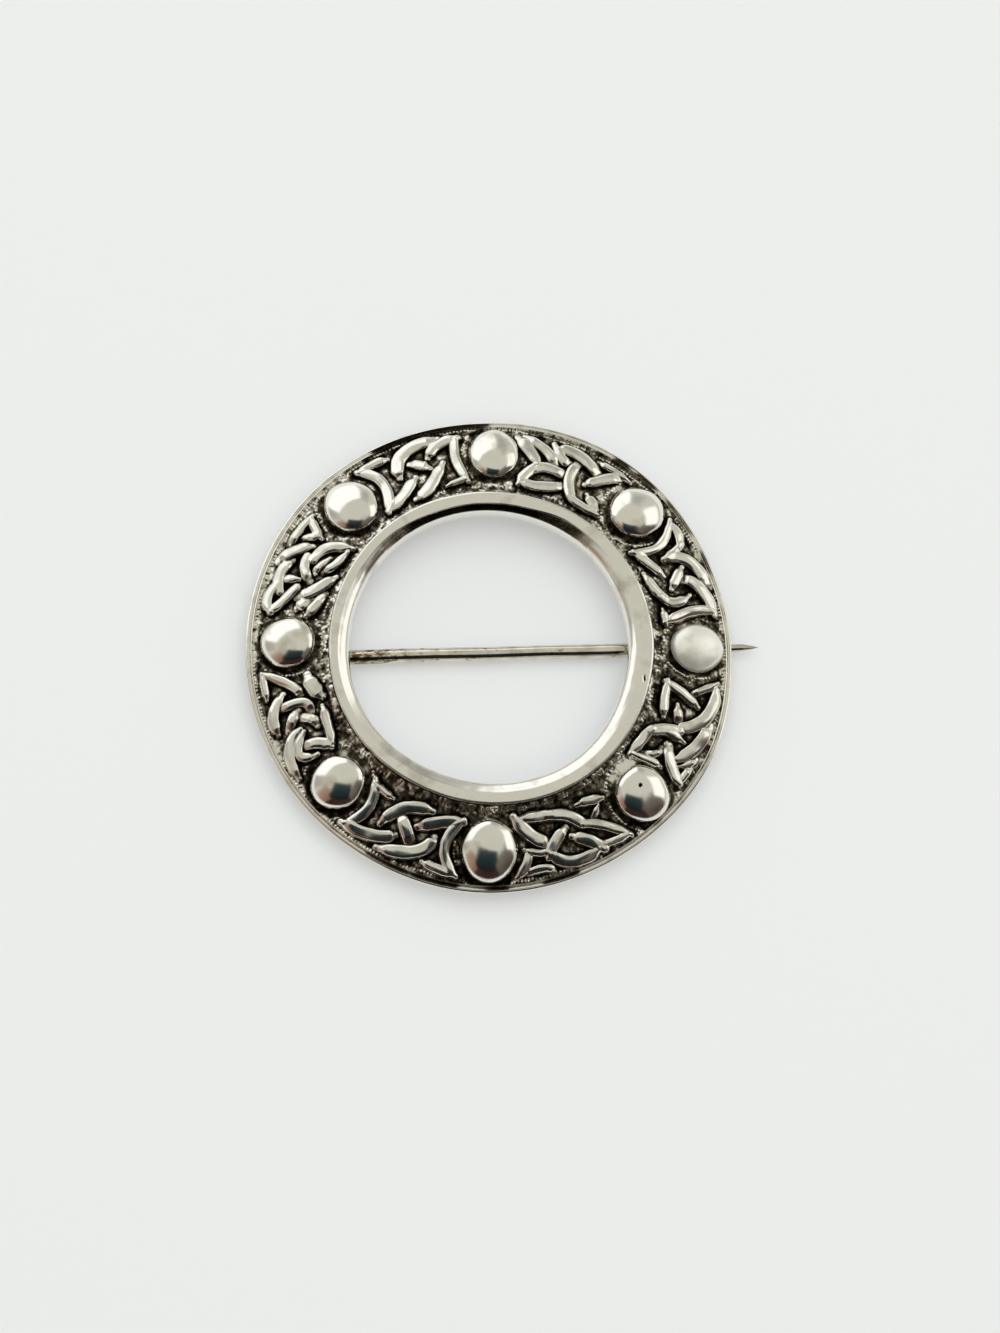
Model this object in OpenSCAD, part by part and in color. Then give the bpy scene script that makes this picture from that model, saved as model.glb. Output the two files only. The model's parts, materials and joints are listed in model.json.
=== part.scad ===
// Cast silver ring brooch with bosses and knotwork, lying face up on its hinge and catch.
// Millimetres. +Z is up and out of the face, +X runs along the pin to its point.
// The origin is the middle of the ring, on the plane that the brooch lies on.
// Radii are measured from the middle of the ring, angles anticlockwise from +X.

/* [Ring] */
// Radius of the outer edge
outer_r = 22.5; // [22:0.1:23]
// Height of the rim's lower edge over the surface it lies on
rim_z = 1.8; // [1.75:0.01:1.9]
// Radius of the rim's inner edge, where the border of beads starts
rim_in_r = 21.9; // [21.8:0.01:22]
// Radius where the sunk ground starts, inside the border
ground_out_r = 21.45; // [21.4:0.01:21.5]
// Radius where the sunk ground ends, at the collar's foot
ground_in_r = 15.1; // [15:0.01:15.2]
// Radius of the open middle at the back
hole_r = 12.9; // [12.8:0.01:13]
// Height of the ground over the rim's lower edge, at the border
ground_low = 0.6; // [0.55:0.01:0.65]
// Height of the ground over the rim's lower edge, at the collar
ground_high = 2.35; // [2.3:0.01:2.4]
// Height of the collar's top over the rim's lower edge
collar_top = 3.3; // [3.2:0.01:3.4]
// Width of the collar's flat top, outside the edge where it slopes down to the open middle
collar_flat = 1; // [0.8:0.05:1.2]
// Height of the back at the open middle over the rim's lower edge
back_high = 1.2; // [1.1:0.01:1.3]

/* [Knotwork and bosses] */
// Height of the knotwork over the ground
knot_h = 0.65; // [0.55:0.01:0.75]
// Turn of the whole pattern against the pin's line, degrees
pattern_turn = -1.8; // [-3:0.1:0]
// How much of a strand's width is lost at its two tips
tip_loss = 0.3; // [0.2:0.05:0.6]
// How far the knotwork as a whole sits off the middle of the ring, across the pin
knot_off = -0.19; // [-0.3:0.01:0]
// Height of a boss over the ground, as a share of half its width
boss_rise = 0.58; // [0.5:0.01:0.65]

/* [Pin and hinge] */
// Height of the pin's centre line
pin_z = 1.15; // [1.12:0.01:1.2]
// How far the pin's line lies off the middle of the ring
pin_y = 0.2; // [0:0.05:0.5]
// Radius of the pin's stem
pin_r = 0.66; // [0.6:0.01:0.7]
// Radius of the stem where it passes under the rim
pin_end_r = 0.38; // [0.34:0.01:0.42]
// Radius of the stem's thicker root, where it leaves the eye
neck_r = 0.8; // [0.7:0.01:0.84]
// Distance from the hinge's line at which the root has narrowed to the stem
neck_l = 3.2; // [3:0.1:3.4]
// Distance of the pin's point from the middle of the ring
pin_tip_x = 25; // [24.6:0.1:25.2]
// Distance of the hinge from the middle of the ring
hinge_x = 18.5; // [18.3:0.1:18.7]
// Radius of the round eye at the pin's hinge end
eye_r = 0.95; // [0.9:0.01:1]
// Width of the eye, along the rivet
eye_w = 1.6; // [1.5:0.05:1.7]
// Radius of the hinge rivet
rivet_r = 0.4; // [0.35:0.01:0.42]
// Running clearance round the rivet in the eye
eye_gap = 0.05; // [0.03:0.01:0.08]
// Side clearance between the eye and each ear of the bracket
side_gap = 0.1; // [0.05:0.01:0.15]
// Thickness of each ear of the bracket
ear_t = 0.8; // [0.7:0.05:0.9]
// Distance of the catch from the middle of the ring
catch_x = 18.6; // [18.4:0.1:18.8]
// Length of the catch along the pin
catch_l = 2.4; // [2:0.1:2.6]
// Clearance between the stem and each cheek of the catch
catch_gap = 0.14; // [0.1:0.01:0.2]

/* [Hidden] */
silver = [0.78, 0.77, 0.74];
warm_silver = [0.72, 0.69, 0.62];
ground_slope = (ground_high - ground_low) / (ground_out_r - ground_in_r);
ground_tilt = atan(ground_slope);
back_out_r = outer_r - 0.6;
// The rim's outer side in section, one row for each corner:
// distance in from the outer edge, height over the rim's lower edge
rim_rows = [[0.15, 0], [0, 0.15], [0, 0.5], [0.2, 0.8]];
// The groove between the rim and the border, one row for each corner:
// distance in from the rim's inner edge, height over the rim's lower edge
groove_rows = [[-0.05, 0.9], [0, 0.6], [0.1, 0.65]];
// Height of the border over the rim's lower edge, and how far its edge slopes down to the ground
border_h = 0.75;
border_edge = 0.05;
// The collar's outer edge, one row for each corner:
// distance in from the ground's inner end, depth under the collar's top
collar_out_rows = [[0.08, 0.3], [0.25, 0.03]];
// The collar's slope into the open middle, one row for each corner:
// distance out from the middle's edge, depth under the collar's top
collar_in_rows = [[0.3, 0.27], [0.08, 0.55], [0, 1.1]];
// How deep the bosses, knotwork and findings are rooted in the band
root = 0.35;
knot_steps = 5;
ear_half = eye_w / 2 + side_gap;
bracket_l = 2.4;
// The foot of bracket and catch narrows by this much at each lower corner
foot_cut = 0.5;
rivet_head_r = 0.7;
rivet_head_t = 0.3;
// Slip between rivet and ears, so that the two solids stay apart
rivet_slip = 0.02;
rivet_half = ear_half + ear_t + 0.03;
// Distance from the middle of the ring at which the stem starts to narrow
stem_taper_x = 14;
// The pin's point, one row for each corner: distance back from the tip, share of the end's radius
point_rows = [[1.4, 0.86], [0.9, 0.64], [0.45, 0.42], [0, 0]];
catch_t = 0.65;
// How far under the ground's face the plates of bracket and catch end
plate_sunk = 0.25;

// One row for each boss: degrees from its even place, radius of its centre,
// its width, and its length along the radius. The bosses were cut by hand, so no two are alike.
bosses = [
  [-0.1, 19.0, 4.65, 5.15], [-0.8, 19.1, 5.0, 5.4], [-1.6, 18.95, 4.6, 5.2], [-1.9, 18.7, 4.9, 5.4],
  [-1.6, 18.5, 4.75, 5.1], [-2.8, 18.75, 4.75, 5.2], [-0.5, 18.95, 5.0, 5.7], [0.6, 19.3, 4.9, 5.3]
];

// Knotwork. One row for each stretch of strand between two crossings, by its centre line:
// start degrees, start radius, halfway degrees, halfway radius, end degrees, end radius, width.
// Degrees are measured from the middle of the panel, halfway between two even boss places.
panel_right_up = [
  [14.8, 21.2, 10.4, 18.6, 12.8, 16.1, 0.70],
  [14.4, 21.1, 11.0, 21.1, 8.0, 20.6, 0.75],
  [8.0, 20.7, 7.0, 19.6, 6.3, 18.4, 0.65],
  [6.2, 18.5, 3.8, 20.4, -3.0, 21.3, 0.90],
  [2.2, 19.6, -0.2, 18.7, -2.7, 17.9, 0.80],
  [12.6, 16.3, 7.5, 16.9, 1.8, 17.6, 0.75],
  [4.3, 16.0, -1.5, 16.3, -5.2, 16.9, 0.80],
  [-4.6, 16.7, -7.2, 17.7, -6.0, 19.2, 0.80],
  [-1.2, 19.5, -5.0, 20.6, -11.8, 21.2, 0.95],
  [-11.5, 21.2, -10.5, 19.2, -12.9, 16.4, 0.80],
  [-8.8, 16.4, -11.0, 16.4, -13.4, 16.4, 0.60]
];
panel_top_right = [
  [14.8, 21.1, 11.4, 19.9, 8.2, 18.7, 1.00],
  [12.2, 21.1, 7.5, 20.4, 4.2, 19.3, 0.80],
  [12.8, 16.3, 11.2, 17.3, 9.2, 18.1, 0.85],
  [9.9, 17.9, 6.0, 18.5, 0.8, 18.4, 0.90],
  [12.4, 16.4, 6.0, 16.4, -0.2, 17.2, 0.90],
  [0.4, 19.7, 3.0, 20.1, 5.5, 21.1, 0.80],
  [4.0, 20.9, -1.0, 21.0, -7.6, 20.1, 0.95],
  [-2.0, 20.0, -1.7, 18.2, -4.0, 16.8, 0.90],
  [-3.2, 16.9, -7.0, 16.3, -14.5, 16.3, 0.70],
  [-7.2, 21.2, -11.0, 21.2, -15.8, 21.2, 0.50],
  [-12.8, 20.9, -9.4, 19.6, -6.6, 18.5, 0.85],
  [-8.8, 17.6, -10.8, 17.2, -13.2, 16.8, 0.80]
];
panel_top_left = [
  [12.6, 21.2, 9.0, 18.7, 12.8, 16.1, 0.85],
  [12.5, 21.1, 8.5, 21.1, 4.6, 20.9, 0.70],
  [4.0, 18.7, 0.6, 20.7, -7.8, 21.2, 1.05],
  [-0.3, 19.5, -2.6, 19.1, -5.0, 18.5, 0.90],
  [12.6, 16.2, 6.0, 16.8, 0.0, 18.0, 0.90],
  [2.6, 15.9, -3.5, 16.7, -9.0, 18.6, 0.95],
  [-5.6, 19.6, -9.0, 20.6, -14.3, 21.1, 0.85],
  [-14.2, 21.1, -12.9, 18.9, -15.4, 16.4, 0.75],
  [-8.6, 16.2, -12.0, 16.4, -15.2, 16.5, 0.50]
];
panel_left_up = [
  [12.0, 20.5, 8.4, 19.6, 4.0, 18.8, 0.75],
  [12.0, 20.5, 9.0, 21.1, 5.0, 20.8, 0.75],
  [6.0, 20.2, 2.2, 20.7, -2.0, 20.4, 0.85],
  [2.6, 20.1, 2.0, 19.5, 1.6, 18.9, 0.70],
  [10.0, 18.2, 8.9, 17.9, 7.6, 17.4, 0.85],
  [11.8, 17.1, 9.0, 16.6, 5.0, 16.2, 0.80],
  [6.2, 18.2, 3.2, 17.0, -2.4, 15.7, 0.95],
  [0.4, 18.1, -2.2, 18.8, -5.4, 19.1, 0.80],
  [-2.4, 21.2, -5.8, 20.4, -8.8, 19.2, 0.85],
  [-7.4, 21.1, -11.5, 21.1, -16.0, 21.0, 0.65],
  [-15.5, 20.9, -13.6, 20.0, -12.2, 18.9, 0.70],
  [-10.6, 20.0, -11.4, 19.6, -12.0, 19.2, 0.70],
  [-5.4, 18.4, -10.4, 17.8, -14.0, 15.9, 0.85],
  [-3.6, 16.8, -7.0, 16.3, -12.0, 16.0, 0.65],
  [-2.4, 17.7, -4.2, 17.6, -6.6, 17.3, 0.60]
];
panel_left_low = [
  [11.6, 21.1, 4.6, 20.6, 1.0, 19.0, 0.80],
  [9.4, 18.8, 6.9, 20.0, 2.4, 18.9, 0.75],
  [9.8, 17.2, 7.2, 17.9, 5.6, 19.1, 0.85],
  [9.0, 16.9, 3.5, 16.5, -2.6, 16.3, 0.75],
  [1.2, 17.3, -0.4, 17.6, -1.8, 18.2, 0.80],
  [-0.8, 19.7, -2.2, 19.3, -3.6, 18.8, 0.80],
  [-0.5, 20.9, -5.4, 20.7, -9.8, 19.5, 0.85],
  [-3.6, 17.4, -6.2, 18.0, -6.4, 19.8, 0.75],
  [-9.0, 17.9, -12.6, 18.8, -16.4, 20.9, 0.70],
  [-9.8, 20.9, -13.0, 20.9, -16.4, 21.0, 0.60],
  [-6.4, 16.0, -9.6, 16.6, -13.6, 16.9, 1.00]
];
panel_low_left = [
  [13.5, 21.2, 9.6, 18.8, 13.5, 16.4, 0.80],
  [13.0, 21.2, 8.5, 20.9, 5.0, 20.6, 0.75],
  [6.2, 18.4, 2.5, 20.0, -6.6, 21.0, 1.00],
  [0.2, 19.4, -2.2, 18.5, -4.6, 17.7, 0.95],
  [13.5, 16.5, 7.0, 16.9, 0.8, 17.9, 0.90],
  [3.0, 16.2, -5.0, 16.9, -9.0, 19.0, 0.95],
  [-4.2, 19.4, -9.0, 20.3, -17.5, 21.0, 0.90],
  [-17.0, 20.9, -14.3, 18.4, -17.8, 16.2, 0.80],
  [-9.8, 16.6, -13.0, 16.6, -16.8, 16.5, 0.60]
];
panel_low_right = [
  [14.2, 21.2, 9.8, 19.4, 5.2, 18.4, 0.75],
  [13.5, 21.2, 10.5, 21.0, 7.6, 20.7, 0.60],
  [6.8, 21.0, 3.9, 19.8, 0.6, 18.9, 0.90],
  [5.2, 21.0, -1.5, 21.0, -7.0, 19.8, 0.90],
  [-7.3, 20.0, -4.6, 18.9, -0.6, 18.0, 0.90],
  [4.6, 18.2, 1.0, 17.0, -4.0, 16.5, 0.90],
  [-3.4, 16.5, -7.5, 16.3, -13.0, 16.2, 0.85],
  [-6.6, 18.7, -10.8, 17.8, -15.2, 16.0, 1.00],
  [13.2, 17.2, 9.5, 16.8, 5.6, 16.6, 0.70],
  [11.0, 17.6, 9.6, 17.9, 8.4, 18.2, 0.50],
  [-6.8, 21.3, -8.5, 20.9, -13.0, 20.9, 0.60],
  [-16.0, 21.2, -13.8, 20.4, -12.2, 19.3, 0.70],
  [-8.0, 19.5, -10.4, 19.4, -13.0, 19.0, 0.55]
];
panel_right_low = [
  [14.6, 21.1, 12.6, 20.1, 10.6, 19.1, 0.60],
  [12.8, 21.1, 5.6, 20.8, 0.4, 19.1, 1.00],
  [7.3, 19.7, 9.6, 18.2, 11.9, 16.4, 0.75],
  [12.2, 16.5, 6.5, 16.6, 1.2, 17.0, 0.75],
  [5.8, 17.9, 3.4, 18.2, 1.6, 18.4, 0.75],
  [-1.0, 18.8, -2.6, 17.6, -5.0, 16.5, 0.95],
  [-4.6, 16.5, -9.0, 16.2, -15.0, 16.1, 0.80],
  [2.6, 21.2, -3.0, 20.8, -8.0, 19.9, 1.00],
  [-3.2, 19.6, -3.0, 18.6, -3.4, 17.6, 0.60],
  [-6.0, 21.3, -7.6, 21.0, -9.4, 20.4, 0.50],
  [-8.4, 21.2, -10.6, 21.2, -12.8, 21.2, 0.60],
  [-12.8, 21.2, -10.9, 19.9, -7.0, 18.7, 0.90],
  [-12.4, 18.9, -13.0, 17.8, -14.8, 16.3, 0.60],
  [-8.8, 18.1, -10.5, 17.9, -12.0, 17.3, 0.60]
];
panels = [
  panel_right_up, panel_top_right, panel_top_left, panel_left_up,
  panel_left_low, panel_low_left, panel_low_right, panel_right_low
];

function polar(deg, r) = [r * cos(deg), r * sin(deg)];
function ground_z(r) = rim_z + ground_low + (ground_out_r - r) * ground_slope;
function even_place(i) = pattern_turn + i * 360 / len(bosses);

// A point of a strand's centre line, t from 0 to 1, on the curve through its three points
function strand_curve(a, half, b, t) =
  let (pull = 2 * half - (a + b) / 2)
  (1 - t) * (1 - t) * a + 2 * t * (1 - t) * pull + t * t * b;
function strand_at(row, deg, t) =
  let (p = strand_curve([row[0], row[1]], [row[2], row[3]], [row[4], row[5]], t))
  polar(deg + p[0], p[1]);
function strand_half(row, t) = row[6] / 2 * (1 - tip_loss * pow(2 * t - 1, 4));
function strand_side(row, deg, t, side) =
  let (p = strand_at(row, deg, t))
  let (step = strand_at(row, deg, t + 0.01) - strand_at(row, deg, t - 0.01))
  p + side * strand_half(row, t) / norm(step) * [-step[1], step[0]];
function strand_outline(row, deg) = concat(
  [for (i = [0:knot_steps]) strand_side(row, deg, i / knot_steps, 1)],
  [for (i = [knot_steps:-1:0]) strand_side(row, deg, i / knot_steps, -1)]
);

// The band in section: back, rim, border, ground, collar
module band_section() {
  top = rim_z + collar_top;
  polygon(concat(
    [[hole_r, rim_z + back_high], [back_out_r, rim_z]],
    [for (row = rim_rows) [outer_r - row[0], rim_z + row[1]]],
    [for (row = groove_rows) [rim_in_r - row[0], rim_z + row[1]]],
    [[ground_out_r + border_edge, rim_z + border_h], [ground_out_r, rim_z + ground_low]],
    [[ground_in_r, rim_z + ground_high]],
    [for (row = collar_out_rows) [ground_in_r - row[0], top - row[1]]],
    [[ground_in_r - collar_flat, top]],
    [for (row = collar_in_rows) [hole_r + row[0], top - row[1]]]
  ));
}

module band() {
  rotate_extrude($fn = 180) band_section();
}

// The layer that the knotwork fills, from its roots up to its tops
module knot_layer() {
  rotate_extrude($fn = 180) polygon([
    [ground_in_r + 0.2, ground_z(ground_in_r + 0.2) - root],
    [rim_in_r - 0.1, ground_z(rim_in_r - 0.1) - root],
    [rim_in_r - 0.1, ground_z(rim_in_r - 0.1) + knot_h],
    [ground_in_r + 0.2, ground_z(ground_in_r + 0.2) + knot_h]
  ]);
}

module knotwork() {
  intersection() {
    knot_layer();
    for (i = [0:len(panels) - 1])
      for (row = panels[i])
        translate([0, knot_off, rim_z]) linear_extrude(height = 5)
          polygon(strand_outline(row, even_place(i + 0.5)));
  }
}

// A round cap of a larger ball, on a short foot that is rooted in the band
module cap(width) {
  rise = boss_rise * width / 2;
  ball_r = (width * width / 4 + rise * rise) / (2 * rise);
  intersection() {
    translate([0, 0, rise - ball_r]) sphere(r = ball_r, $fn = 96);
    translate([0, 0, -root]) cylinder(d = width, h = width, $fn = 64);
  }
}

// A boss leans outwards with the slope of the ground that it stands on.
// It is a little longer than wide: two caps that lie almost on each other, side by side.
module boss(r, width, length) {
  translate([r, 0, ground_z(r)]) rotate([0, ground_tilt, 0])
    for (side = [-1, 1])
      translate([side * (length - width) / 2, 0, 0]) cap(width);
}

module all_bosses() {
  for (i = [0:len(bosses) - 1])
    rotate([0, 0, even_place(i) + bosses[i][0]]) boss(bosses[i][1], bosses[i][2], bosses[i][3]);
}

// A plate that stands between the table and the band, seen along Y, with its lower corners cut
module foot_plate(length, thickness) {
  top = ground_z(hinge_x + length / 2) - plate_sunk;
  rotate([90, 0, 0]) linear_extrude(height = thickness, center = true) polygon([
    [-length / 2 + foot_cut, 0], [length / 2 - foot_cut, 0], [length / 2, foot_cut],
    [length / 2, top], [-length / 2, top], [-length / 2, foot_cut]
  ]);
}

module hinge_bracket() {
  for (side = [-1, 1])
    translate([-hinge_x, pin_y + side * (ear_half + ear_t / 2), 0]) foot_plate(bracket_l, ear_t);
}

module rivet_hole() {
  translate([-hinge_x, pin_y, pin_z]) rotate([90, 0, 0])
    cylinder(r = rivet_r + rivet_slip, h = 8, center = true, $fn = 48);
}

// The catch is open downwards, the way that the pin leaves it
module catch_cheeks() {
  for (side = [-1, 1])
    translate([catch_x, pin_y + side * (pin_r + catch_gap + catch_t / 2), 0])
      foot_plate(catch_l, catch_t);
}

module ring() {
  color(silver) difference() {
    union() {
      band();
      knotwork();
      all_bosses();
      hinge_bracket();
      catch_cheeks();
    }
    rivet_hole();
  }
}

// The stem's profile is turned about the pin's own line, from the eye to the point
module pin_stem() {
  start_x = eye_r * 0.6;
  rotate([0, 90, 0]) rotate_extrude($fn = 48) polygon(concat(
    [[0, start_x], [neck_r, start_x], [pin_r, neck_l], [pin_r, hinge_x + stem_taper_x]],
    [[pin_end_r, hinge_x + outer_r]],
    [for (row = point_rows) [pin_end_r * row[1], hinge_x + pin_tip_x - row[0]]]
  ));
}

module pin() {
  color(warm_silver) translate([-hinge_x, pin_y, pin_z]) difference() {
    union() {
      rotate([90, 0, 0]) cylinder(r = eye_r, h = eye_w, center = true, $fn = 48);
      pin_stem();
    }
    rotate([90, 0, 0]) cylinder(r = rivet_r + eye_gap, h = eye_w + 1, center = true, $fn = 48);
  }
}

module hinge_rivet() {
  color(warm_silver) translate([-hinge_x, pin_y, pin_z]) rotate([90, 0, 0]) {
    cylinder(r = rivet_r, h = 2 * rivet_half + rivet_head_t, center = true, $fn = 48);
    for (side = [-1, 1])
      translate([0, 0, side * (rivet_half + rivet_head_t / 2)])
        cylinder(r = rivet_head_r, h = rivet_head_t, center = true, $fn = 48);
  }
}

ring();
pin();
hinge_rivet();
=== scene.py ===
"""Looks of a cast silver ring brooch with bosses and knotwork.

Blender units are metres. The tables and sizes below are in millimetres and degrees, and MM turns
millimetres into metres.
Radii are measured from the middle of the ring, angles anticlockwise from +X, which runs along the pin.
"""

import json
import math

import bmesh
import bpy
import numpy as np
from mathutils import Matrix, Vector


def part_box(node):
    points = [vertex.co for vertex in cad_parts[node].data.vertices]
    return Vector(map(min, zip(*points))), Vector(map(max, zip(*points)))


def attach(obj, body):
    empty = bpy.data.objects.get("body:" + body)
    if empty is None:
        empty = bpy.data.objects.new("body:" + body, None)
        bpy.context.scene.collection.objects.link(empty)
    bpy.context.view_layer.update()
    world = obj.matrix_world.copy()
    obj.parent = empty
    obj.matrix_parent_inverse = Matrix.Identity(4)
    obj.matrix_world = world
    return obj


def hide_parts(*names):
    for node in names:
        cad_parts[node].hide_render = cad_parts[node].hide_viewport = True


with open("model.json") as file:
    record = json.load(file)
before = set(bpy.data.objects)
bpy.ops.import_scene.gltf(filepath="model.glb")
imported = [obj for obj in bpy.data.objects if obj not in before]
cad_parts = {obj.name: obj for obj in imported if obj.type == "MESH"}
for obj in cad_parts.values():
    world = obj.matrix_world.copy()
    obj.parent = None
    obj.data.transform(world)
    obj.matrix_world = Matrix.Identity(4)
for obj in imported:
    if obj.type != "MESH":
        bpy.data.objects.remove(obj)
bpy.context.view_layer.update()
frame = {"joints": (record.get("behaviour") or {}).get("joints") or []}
MM = 0.001

# The ring, from the frame where it has the size. RIM_Z is the height of the rim's underside over the
# floor, and the heights of the sunk ground, the collar and the hollow back are measured from there.
OUTER_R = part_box("ring")[1].x / MM
RIM_IN_R = OUTER_R - 0.6
GROUND_OUT_R = 21.45
GROUND_IN_R = 15.1
HOLE_R = 12.9
RIM_Z = 1.8
GROUND_LOW = 0.6
GROUND_HIGH = 2.35
COLLAR_TOP = 3.3
BACK_HIGH = 1.2
# From the collar's foot in to the ridge where its inner slope starts
COLLAR_FLAT = 1.0
GROUND_SLOPE = (GROUND_HIGH - GROUND_LOW) / (GROUND_OUT_R - GROUND_IN_R)
GROUND_TILT = math.atan(GROUND_SLOPE)

# The knotwork: the height of its strands, the share of its width that each loses towards its ends, how
# much wider than in the table its soft sides make it, and how far the pattern is turned and shifted
KNOT_H = 0.65
TIP_LOSS = 0.12
SOFT_SIDES = 1.16
PATTERN_TURN = -1.8
KNOT_OFF = -0.19
# How far under the ground the body's bed, the panels' undersides and the bosses' undersides lie, and
# the lowest that the panels' own surface goes
BED_ROOT = 0.43
PANEL_ROOT = 0.38
BOSS_ROOT = 0.4
LOWEST_DIP = 0.34
# Height of a boss as a share of half its width
BOSS_RISE = 0.58

# The pin, the hinge that it swings on and the catch that it lies in
swing = frame["joints"][0]
HINGE_X = -swing["pos_m"][0] / MM
PIN_Y = swing["pos_m"][1] / MM
PIN_Z = swing["pos_m"][2] / MM
TIP_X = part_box("pin")[1].x / MM
PIN_R = 0.66
PIN_END_R = 0.38
NECK_R = 0.8
NECK_L = 3.2
EYE_R = 0.95
EYE_W = 1.6
EYE_GAP = 0.05
RIVET_R = 0.4
EAR_T = 0.8
EAR_GAP = 0.1
CATCH_X = 18.6
CATCH_T = 0.65
CATCH_GAP = 0.14
FINDING_L = 2.4

# One row for each boss: degrees from its even place, radius of its centre, its width, and its
# length along the radius
BOSSES = [
    (0.9, 19.1, 4.3, 4.9), (-0.8, 19.1, 5.0, 5.4), (-1.6, 18.95, 4.6, 5.2), (-1.9, 18.7, 4.9, 5.4),
    (-1.6, 18.5, 4.75, 5.1), (-2.8, 18.75, 4.75, 5.2), (-0.5, 18.95, 5.0, 5.7), (0.6, 19.3, 4.9, 5.3),
]
WORN_BOSS = 0
PITTED_BOSS = 7

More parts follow.
